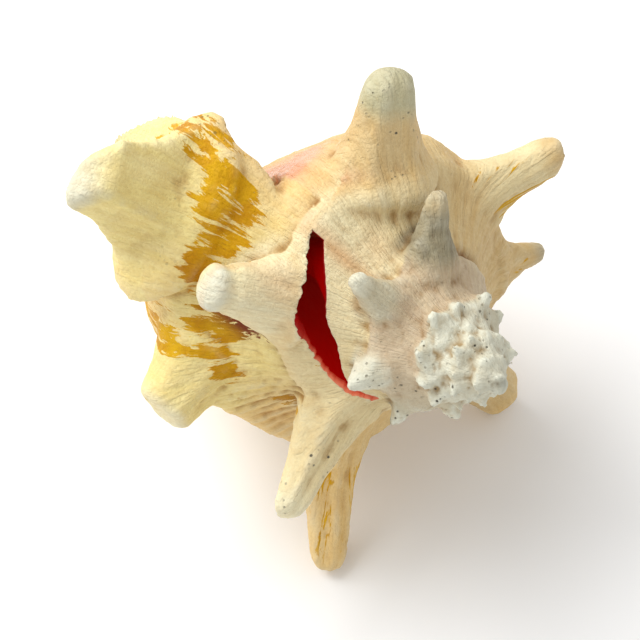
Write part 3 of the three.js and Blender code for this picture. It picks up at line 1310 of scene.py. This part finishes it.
def new_group(
    name: str, inputs: Sequence[tuple[str, str, float]], outputs: Sequence[str]
) -> tuple[Board, bpy.types.NodeOutputs, bpy.types.NodeInputs]:
    """An empty node group with named sockets.

    Args:
        name: The group's name.
        inputs: Each input's name, kind of socket and first value.
        outputs: The names of the outputs, which are all plain values.

    Returns:
        A board on the group, what the group is given and what it puts out.
    """
    tree = bpy.data.node_groups.new(name, "ShaderNodeTree")
    for label, kind, value in inputs:
        socket = tree.interface.new_socket(label, in_out="INPUT", socket_type=kind)
        if kind == FLOAT:
            socket.default_value = value
    for label in outputs:
        tree.interface.new_socket(label, in_out="OUTPUT", socket_type=FLOAT)
    board = Board(tree)
    return board, board.add("NodeGroupInput").outputs, board.add("NodeGroupOutput").inputs


def growth_line_group() -> bpy.types.NodeTree:
    """Fine and broad growth lines, as masks from 0 to 1.

    Returns:
        The group.
    """
    board, given, made = new_group(
        "growth_lines", [("Lines", VECTOR, 0), ("Spacing", FLOAT, 700)], ["Fine", "Broad"]
    )
    fine = board.noise(given["Lines"], given["Spacing"], 2.0, 0.6, 0.15)
    broad = board.noise(given["Lines"], board.times(given["Spacing"], 0.3), 3.0, 0.6, 0.2)
    board.feed(made["Fine"], board.between(fine, 0.32, 0.68))
    board.feed(made["Broad"], board.between(broad, 0.3, 0.7))
    return board.tree


def pit_group() -> bpy.types.NodeTree:
    """Small round pits, gathered in patches, as a mask from 0 to 1.

    Returns:
        The group.
    """
    board, given, made = new_group(
        "pits", [("Place", VECTOR, 0), ("Size", FLOAT, 600), ("Amount", FLOAT, 0.5)], ["Pit"]
    )
    place, size = given["Place"], given["Size"]
    gathered = board.between(board.noise(place, board.times(size, 0.25), 2.0), 0.42, 0.62)
    cells = board.add("ShaderNodeTexVoronoi", {"Vector": place, "Scale": size}, feature="F1")
    spread = board.times(board.noise(place, size, 1.0), 0.35)
    distance = board.plus(cells.outputs["Distance"], spread)
    dot = board.math("SUBTRACT", 1.0, board.between(distance, 0.27, 0.4))
    board.feed(made["Pit"], board.times(dot, gathered, given["Amount"]))
    return board.tree


def mottle_group() -> bpy.types.NodeTree:
    """Cloudy patches and fine grain, as masks from 0 to 1.

    Returns:
        The group.
    """
    board, given, made = new_group(
        "mottle", [("Place", VECTOR, 0), ("Size", FLOAT, 90)], ["Cloud", "Grain"]
    )
    place, size = given["Place"], given["Size"]
    cloud = board.noise(place, size, 5.0, 0.62, 0.4)
    grain = board.noise(place, board.times(size, 14.0), 3.0, 0.6)
    board.feed(made["Cloud"], board.between(cloud, 0.3, 0.7))
    board.feed(made["Grain"], board.between(grain, 0.3, 0.7))
    return board.tree


@dataclass(frozen=True)
class Groups:
    """The shared effects, built once."""

    lines: bpy.types.NodeTree
    pits: bpy.types.NodeTree
    mottle: bpy.types.NodeTree

    @classmethod
    def build(cls) -> "Groups":
        """Builds every shared group."""
        return cls(growth_line_group(), pit_group(), mottle_group())


def new_material(name: str) -> tuple[bpy.types.Material, Board, bpy.types.Node]:
    """A new node material.

    Args:
        name: The material's name.

    Returns:
        The material, a board on it and its Principled shader.
    """
    material = bpy.data.materials.new(name)
    material.use_nodes = True
    board = Board(material.node_tree)
    return material, board, material.node_tree.nodes["Principled BSDF"]


@dataclass(frozen=True)
class OuterFinish:
    """The weathered outside: chalk over cream, growth lines, ochre stains and pits, with dust and
    painted shade in hollows and painted shade under the front spines.
    """

    line_spacing: float = 900.0
    cloud_size: float = 85.0
    pit_size: float = 540.0
    crumb_size: float = 380.0
    clouds: float = 0.34
    fine_lines: float = 0.2
    broad_lines: float = 0.22
    speckle: float = 0.22
    # How strongly dust and painted shade darken the hollows.
    dust_and_shade: float = 0.9
    chalk: float = 0.8
    streak_size: float = 520.0
    blotch_size: float = 190.0
    stain_from: float = 1.43
    stain_full: float = 1.49
    bump: float = 0.8
    bump_height: float = 0.0006

    def stain(self, board: Board, lines: Feed, amount: Feed) -> bpy.types.NodeSocket:
        """Dashes along the growth lines.

        Args:
            board: The material's board.
            lines: The place along and across the growth lines.
            amount: How much of the surface is stained.

        Returns:
            A mask from 0 to 1.
        """
        along = board.stretched(lines, (1, 1, 0.9))
        streaks = board.noise(along, self.streak_size, 5.0, 0.7, 0.4)
        blotch = board.noise(board.stretched(lines, (1, 1, 1.4)), self.blotch_size, 2.0, 0.5)
        pattern = board.plus(board.times(streaks, 1.3), board.times(blotch, 0.8))
        wanted = board.plus(pattern, board.times(amount, 0.52))
        return board.between(wanted, self.stain_from, self.stain_full)

    def build(self, groups: Groups) -> bpy.types.Material:
        """Builds the material.

        Args:
            groups: The shared effects.

        Returns:
            The material.
        """
        material, board, shader = new_material("outer_shell")
        place = board.object_place()
        lines = board.attribute("lines", "Vector")
        names = ("stain", "spine_shade", "crumbs", "callus", "chalky", "pitted", "hollow", "ridge")
        masks = {name: board.attribute(name) for name in names}
        striae = board.place(groups.lines, Lines=lines, Spacing=self.line_spacing)
        mottle = board.place(groups.mottle, Place=place, Size=self.cloud_size)
        pit, crumb = (
            board.place(groups.pits, Place=place, Size=size, Amount=masks[name])["Pit"]
            for size, name in ((self.pit_size, "pitted"), (self.crumb_size, "crumbs"))
        )
        bare = board.math("SUBTRACT", 1.0, masks["chalky"])
        colour = board.attribute("tone", "Color")
        colour = board.darken(board.times(mottle["Cloud"], self.clouds), colour, Tint.CLOUD)
        fine = board.times(striae["Fine"], self.fine_lines, board.plus(bare, 0.25))
        colour = board.darken(fine, colour, Tint.LINE)
        broad = board.times(striae["Broad"], self.broad_lines, bare)
        colour = board.mix(broad, colour, Tone.PALE_CREAM.linear())
        colour = board.darken(board.times(mottle["Grain"], self.speckle), colour, Tint.GRAIN)
        # Dust and painted shade: the hollow mask darkens creases, hollows and the bases of spines,
        # where shade falls.
        colour = board.darken(board.times(masks["hollow"], self.dust_and_shade), colour, Tint.DUST)
        ochre = board.mix(mottle["Cloud"], Tone.OCHRE.linear(), Tone.DARK_OCHRE.linear())
        # Painted shade under the front spines, mixed into the stain's colour.
        ochre = board.mix(masks["spine_shade"], ochre, Tone.RUST.linear())
        colour = board.mix(self.stain(board, lines, masks["stain"]), colour, ochre)
        colour = board.mix(crumb, colour, Tone.OLIVE.linear())
        worn = board.times(masks["ridge"], board.plus(masks["chalky"], 0.3), self.chalk)
        colour = board.mix(worn, colour, Tone.CHALK.linear())
        colour = board.mix(pit, colour, Tone.GREY.linear())
        colour = board.mix(board.between(pit, 0.6, 0.95), colour, Tint.PIT.value)
        dull = board.plus(board.times(mottle["Grain"], 0.2), 0.52)
        height = board.times(striae["Fine"], 0.4, board.plus(bare, 0.1))
        height = board.plus(height, board.times(mottle["Grain"], 0.28))
        height = board.plus(height, board.times(striae["Broad"], 0.3))
        height = board.math("SUBTRACT", height, pit)
        board.dress(
            shader,
            Base_Color=colour,
            Roughness=board.math("SUBTRACT", dull, board.times(masks["callus"], 0.35)),
            Specular_IOR_Level=0.22,
            Normal=board.bump(height, self.bump, self.bump_height),
        )
        return material


@dataclass(frozen=True)
class InnerFinish:
    """The glossy pink inside, deep red under the slit, with a painted red glow there for the light
    that shines through the wall.
    """

    gloss: float = 0.28
    glow: float = 0.15
    line_spacing: float = 420.0
    cloud_size: float = 60.0

    def build(self, groups: Groups) -> bpy.types.Material:
        """Builds the material.

        Args:
            groups: The shared effects.

        Returns:
            The material.
        """
        material, board, shader = new_material("inner_shell")
        place = board.object_place()
        lines = board.attribute("lines", "Vector")
        striae = board.place(groups.lines, Lines=lines, Spacing=self.line_spacing)
        mottle = board.place(groups.mottle, Place=place, Size=self.cloud_size)
        colour = board.attribute("inner_tone", "Color")
        colour = board.darken(board.times(mottle["Cloud"], 0.35), colour, Tint.FLESH)
        colour = board.darken(board.times(striae["Broad"], 0.25), colour, Tint.FLESH_LINE)
        board.dress(
            shader,
            Base_Color=colour,
            # Painted glow: red emission near the slit, standing in for light that reaches the
            # inside.
            Emission_Color=board.attribute("glow", "Color"),
            Emission_Strength=self.glow,
            Roughness=board.plus(board.times(mottle["Grain"], 0.12), self.gloss),
            Normal=board.bump(striae["Broad"], 0.25, 0.0005),
        )
        return material


@dataclass(frozen=True)
class CutFinish:
    """The layered edge where the slit was cut: dark red, and pale at the low end."""

    layers: float = 900.0
    cloud_size: float = 150.0
    glow: float = 0.12

    def build(self, groups: Groups) -> bpy.types.Material:
        """Builds the material.

        Args:
            groups: The shared effects.

        Returns:
            The material.
        """
        material, board, shader = new_material("cut_edge")
        place = board.object_place()
        mottle = board.place(groups.mottle, Place=place, Size=self.cloud_size)
        layered = board.noise(board.stretched(place, (1, 1, 3)), self.layers, 2.0)
        colour = board.mix(layered, Tone.SALMON.linear(), Tone.ROSE.linear())
        colour = board.darken(board.times(mottle["Cloud"], 0.5), colour, Tint.CUT)
        colour = board.mix(board.attribute("rim"), Tone.DARK_RED.linear(), colour)
        board.dress(
            shader,
            Base_Color=colour,
            # Painted glow: red emission near the slit, standing in for light that reaches the cut
            # edge.
            Emission_Color=board.attribute("glow", "Color"),
            Emission_Strength=self.glow,
            Roughness=board.plus(board.times(mottle["Grain"], 0.2), 0.5),
            Normal=board.bump(layered, 0.4, 0.0004),
        )
        return material


# the assembly


@dataclass(frozen=True)
class RestingPose:
    """The way the shell lies, as directions in its growth frame."""

    up: tuple[float, float, float] = (0.42, 0.81, 0.41)
    front: tuple[float, float, float] = (0.0, 0.656, 0.755)
    apex: tuple[float, float, float] = (38.836, -67.399, 86.230)

    def matrix(self) -> np.ndarray:
        """The turn from the growth frame to the frame of the part.

        Returns:
            Three rows: the part's right, back and up in the growth frame.
        """
        up = np.array(self.up) / np.linalg.norm(self.up)
        front = np.array(self.front) - up * (up @ np.array(self.front))
        front = front / np.linalg.norm(front)
        right = np.cross(-front, up)
        return np.stack([right, -front, up])


@dataclass
class ConchShell:
    """The whole shell: whorls, spines, hollow, slit, relief and finishes."""

    law: GrowthLaw
    pose: RestingPose
    knobs: SpireKnobs
    hollow: Hollow
    slit: Slit
    relief: Relief
    voxel: float = 1.0
    smooth_rounds: int = 3
    ring_step: float = 5.0
    mouth_margin: float = 7.0
    past_red: float = 70.0
    glow_reach: tuple[float, float] = (26.0, 48.0)
    axis_points: int = 7
    axis_radius: float = 0.3
    pillar_sides: int = 14
    pillar_depths: tuple[float, ...] = (12, 40, 100, 130, 160, 179.5, 185)
    pillar_radii: tuple[float, ...] = (3, 8, 10, 9, 8, 7, 4)

    def whorl_ring(self, growth: float) -> np.ndarray:
        """One closed ring of a whorl.

        Args:
            growth: The growth angle.

        Returns:
            Points down the wall and then back up the axis.
        """
        wall = self.law.section(growth, 4)
        share = np.linspace(0, 1, len(wall))
        law = self.law
        wave = law.lip_wave * fade(law.lip_wave_from, law.lip_end, growth)
        wavy = np.array([noise.noise(Vector((s * 9.0, 0.7, 1.3))) for s in share])
        recess = law.lip_recess * fade(law.lip_recess_from, law.lip_end, growth)
        pulled = wave * np.abs(wavy) + recess * np.exp(-((share / law.lip_recess_share) ** 2))
        outer = law.place(law.azimuth(growth - pulled), wall[:, 0], wall[:, 1])
        depths = np.linspace(wall[-1][1], wall[0][1], self.axis_points)
        axis = law.place(law.azimuth(growth), self.axis_radius, depths)
        return np.concatenate([outer, axis])

    def solids(self) -> list[bpy.types.Object]:
        """Builds the whorls, the pillar and every spine.

        Returns:
            The closed solids, which overlap.
        """
        law = self.law
        growths = steps(law.first_whorl, law.lip_end, self.ring_step)
        made = [skin_rings("whorls", [self.whorl_ring(growth) for growth in growths])]
        sides = self.pillar_sides
        around = np.arange(sides) * TURN / sides
        pillar = [
            law.place(around, radius, np.full(sides, depth))
            for depth, radius in zip(self.pillar_depths, self.pillar_radii, strict=True)
        ]
        made.append(skin_rings("pillar", pillar))
        rows = (
            (SHOULDER_SPINES, 30, 26), (OLDER_SPINES, 20, 16), (self.knobs.spines(law), 10, 6)
        )
        for spines, sides, rings in rows:
            made += [spine.build(law, sides, rings) for spine in spines]
        for solid in made:
            LOG.info("solid %s: %d faces", solid.name, len(solid.data.polygons))
        return made

    def joined(self) -> bpy.types.Object:
        """Grows all the solids into one even skin.

        Returns:
            The solid shell, in the growth frame.
        """
        solids = self.solids()
        mesh = bmesh.new()
        for solid in solids:
            mesh.from_mesh(solid.data)
            bpy.data.meshes.remove(solid.data)
        data = bpy.data.meshes.new("shell_visual")
        mesh.to_mesh(data)
        mesh.free()
        shell = bpy.data.objects.new("conch_shell", data)
        bpy.context.scene.collection.objects.link(shell)
        apply_modifier(shell, "REMESH", mode="VOXEL", voxel_size=self.voxel)
        apply_modifier(shell, "SMOOTH", iterations=self.smooth_rounds, factor=0.5)
        return shell

    def roughen(self, shell: bpy.types.Object) -> None:
        """Moves the skin along its normals by the relief's heights.

        Args:
            shell: The shell, in the growth frame.
        """
        points = read_points(shell.data)
        normals = np.empty(len(points) * 3, np.float32)
        shell.data.vertex_normals.foreach_get("vector", normals)
        heights = self.relief.heights(points, GrowthMap.of(self.law, points))
        write_points(shell.data, points + normals.reshape(-1, 3) * heights[:, None])

    def cut(self, shell: bpy.types.Object) -> None:
        """Takes the hollow and the slit out of the shell.

        Args:
            shell: The shell, in the growth frame.
        """
        cutters = [*self.hollow.build(self.law), self.slit.build(self.law)]
        for cutter in cutters:
            for material in shell.data.materials:
                cutter.data.materials.append(material)
            apply_modifier(
                shell, "BOOLEAN", operation="DIFFERENCE", solver="MANIFOLD",
                object=cutter, material_mode="INDEX",
            )
            LOG.info("cut %s: %d faces", cutter.name, len(shell.data.polygons))
            bpy.data.meshes.remove(cutter.data)

    def keep_largest(self, shell: bpy.types.Object) -> None:
        """Removes loose crumbs that the cuts leave behind.

        Args:
            shell: The shell, in the growth frame.
        """
        mesh = bmesh.new()
        mesh.from_mesh(shell.data)
        left = set(mesh.verts)
        islands = []
        while left:
            island = set()
            edge_of_island = [left.pop()]
            while edge_of_island:
                vertex = edge_of_island.pop()
                island.add(vertex)
                for edge in vertex.link_edges:
                    other = edge.other_vert(vertex)
                    if other in left:
                        left.discard(other)
                        edge_of_island.append(other)
            islands.append(island)
        islands.sort(key=len)
        crumbs = [vertex for island in islands[:-1] for vertex in island]
        bmesh.ops.delete(mesh, geom=crumbs, context="VERTS")
        LOG.info("removed %d crumbs", len(islands) - 1)
        mesh.to_mesh(shell.data)
        mesh.free()

    def paint(self, shell: bpy.types.Object) -> None:
        """Writes the broad colours and masks on the vertices.

        Args:
            shell: The shell, in the growth frame.
        """
        data = shell.data
        points = read_points(data)
        where = GrowthMap.of(self.law, points)
        paint = ShellPaint((*SHOULDER_SPINES, *OLDER_SPINES))
        write_attribute(data, "tone", opaque(paint.tones(self.law, points, where)))
        middle = self.slit.on_ramp(self.law, *self.slit.middle)
        away = np.linalg.norm(points - middle, axis=1)
        older = self.law.lip_azimuth - where.azimuth
        older = np.where(older > self.law.lip_end + 4, older - TURN, older) - TURN
        edge = interpolate(self.law.body_radii, older)
        edge = edge - self.mouth_margin * fade(-375, -362, older)
        away = away + self.past_red * fade(edge - 0.5, edge + 2.5, where.radius)
        write_attribute(data, "inner_tone", opaque(blend_tones(INNER_TONES, away)))
        # Painted glow: a red emission that fades with distance from the slit, standing in for
        # light that comes in there.
        through = 1 - fade(*self.glow_reach, away)
        write_attribute(data, "glow", opaque(np.outer(through, Tone.DEEP_RED.linear()[:3])))
        write_attribute(data, "lines", where.lines())
        masks = paint.masks(self.law, points, where)
        near, far = hollowness(data, points, 5), hollowness(data, points, 45)
        # The hollow mask carries dust and painted shade in creases and hollows; the ridge mask
        # carries lighter chalk on raised parts.
        masks["hollow"] = np.maximum(fade(0.05, 0.5, near), fade(0.4, 3.0, far))
        masks["ridge"] = np.maximum(fade(0.1, 0.6, -near), fade(1.0, 4.0, -far) * 0.5)
        for name, values in masks.items():
            write_attribute(data, name, values)

    def lay_down(self, shell: bpy.types.Object) -> None:
        """Turns the shell to the way it lies and puts it in the frame's box.

        Args:
            shell: The shell, in the growth frame.
        """
        points = read_points(shell.data) @ self.pose.matrix().T + self.pose.apex
        low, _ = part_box("shell")
        points[:, 2] += low.z / MM - points[:, 2].min()
        write_points(shell.data, points * MM)

    def build(self, materials: Sequence[bpy.types.Material]) -> bpy.types.Object:
        """Builds the finished shell.

        Args:
            materials: The outer, inner and cut-edge materials, in that order.

        Returns:
            The shell, in the part's frame.
        """
        shell = self.joined()
        self.roughen(shell)
        for material in materials:
            shell.data.materials.append(material)
        self.cut(shell)
        self.keep_largest(shell)
        self.paint(shell)
        self.lay_down(shell)
        shell.data.shade_smooth()
        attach(shell, "root")
        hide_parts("shell")
        shell.data.calc_loop_triangles()
        LOG.info("piece %s: %d triangles", shell.name, len(shell.data.loop_triangles))
        return shell


def read_points(data: bpy.types.Mesh) -> np.ndarray:
    """A mesh's vertices.

    Args:
        data: The mesh.

    Returns:
        Rows of x, y and z.
    """
    flat = np.empty(len(data.vertices) * 3, np.float32)
    data.vertices.foreach_get("co", flat)
    return flat.reshape(-1, 3).astype(float)


def write_points(data: bpy.types.Mesh, points: np.ndarray) -> None:
    """Puts a mesh's vertices at new points."""
    data.vertices.foreach_set("co", points.astype(np.float32).ravel())
    data.update()


def write_attribute(data: bpy.types.Mesh, name: str, values: np.ndarray) -> None:
    """Keeps a value, a vector or a linear colour on each vertex.

    Args:
        data: The mesh.
        name: The attribute's name.
        values: One number for each vertex, or a row of three, or a row of four.
    """
    columns = 1 if values.ndim == 1 else values.shape[1]
    kind, part = {
        1: ("FLOAT", "value"), 3: ("FLOAT_VECTOR", "vector"), 4: ("FLOAT_COLOR", "color")
    }[columns]
    attribute = data.attributes.new(name, kind, "POINT")
    attribute.data.foreach_set(part, values.astype(np.float32).ravel())


def opaque(colours: np.ndarray) -> np.ndarray:
    """Linear colours with a full alpha."""
    return np.concatenate([colours, np.ones((len(colours), 1))], axis=1)


# the studio


@dataclass(frozen=True)
class Studio:
    """A pale floor, soft light and the camera."""

    elevation: float = 57.2
    roll: float = -4.7
    distance: float = 0.70
    lens: float = 159.9
    aim: tuple[float, float, float] = (-0.0042, -0.019, 0.0501)
    sky: float = 0.66
    key_power: float = 7.0
    key_size: float = 0.7
    key_distance: float = 0.8
    key_from: tuple[float, float, float] = (-0.6, 0.75, 0.55)
    floor_size: float = 3.0
    floor_tone: tuple[float, float, float, float] = (0.96, 0.96, 0.96, 1)

    def axes(self) -> Matrix:
        """The camera's own directions.

        Returns:
            Right, up and back as columns.
        """
        tilt = math.radians(self.elevation)
        back = Vector((0, -math.cos(tilt), math.sin(tilt)))
        right = Vector((1, 0, 0))
        up = back.cross(right)
        turn = Matrix.Rotation(math.radians(self.roll), 3, back)
        return turn @ Matrix((right, up, back)).transposed()

    def build_floor(self) -> None:
        """A plain pale floor, which isn't part of the object."""
        mesh = bmesh.new()
        bmesh.ops.create_grid(mesh, x_segments=1, y_segments=1, size=self.floor_size)
        data = bpy.data.meshes.new("floor")
        mesh.to_mesh(data)
        mesh.free()
        floor = bpy.data.objects.new("floor", data)
        bpy.context.scene.collection.objects.link(floor)
        material, _, shader = new_material("floor")
        shader.inputs["Base Color"].default_value = self.floor_tone
        shader.inputs["Roughness"].default_value = 0.9
        data.materials.append(material)

    def build_lights(self) -> None:
        """A bright even sky and one soft lamp from the upper left."""
        world = bpy.data.worlds.new("sky")
        world.use_nodes = True
        background = world.node_tree.nodes["Background"]
        background.inputs["Color"].default_value = (1, 1, 1, 1)
        background.inputs["Strength"].default_value = self.sky
        bpy.context.scene.world = world
        lamp = bpy.data.lights.new("key", "AREA")
        lamp.energy = self.key_power
        lamp.size = self.key_size
        holder = bpy.data.objects.new("key", lamp)
        toward = (self.axes() @ Vector(self.key_from)).normalized()
        holder.location = Vector(self.aim) + toward * self.key_distance
        holder.rotation_mode = "QUATERNION"
        holder.rotation_quaternion = toward.to_track_quat("Z", "Y")
        bpy.context.scene.collection.objects.link(holder)

    def build_camera(self) -> None:
        """The camera, which looks down at the shell from the front."""
        data = bpy.data.cameras.new("camera")
        data.sensor_width = 36.0
        data.lens = self.lens
        data.clip_start = 0.05
        data.clip_end = 20.0
        camera = bpy.data.objects.new("camera", data)
        axes = self.axes()
        place = axes.to_4x4()
        place.translation = Vector(self.aim) + axes.col[2] * self.distance
        camera.matrix_world = place
        bpy.context.scene.collection.objects.link(camera)
        bpy.context.scene.camera = camera

    def build(self) -> None:
        """Builds the floor, the lights and the camera."""
        self.build_floor()
        self.build_lights()
        self.build_camera()
        scene = bpy.context.scene
        scene.view_settings.view_transform = "Standard"
        LOG.info("studio ready")


def main() -> None:
    """Builds the shell and the studio around it."""
    logging.basicConfig(level=logging.INFO, format="%(name)s: %(message)s")
    groups = Groups.build()
    materials = [
        finish.build(groups) for finish in (OuterFinish(), InnerFinish(), CutFinish())
    ]
    sites = tuple(spine.at for spine in (*SHOULDER_SPINES, *OLDER_SPINES))
    shell = ConchShell(
        law=GrowthLaw(flare_sites=sites),
        pose=RestingPose(),
        knobs=SpireKnobs(),
        hollow=Hollow(),
        slit=Slit(),
        relief=Relief(),
    )
    shell.build(materials)
    Studio().build()


if __name__ == "__main__":
    main()
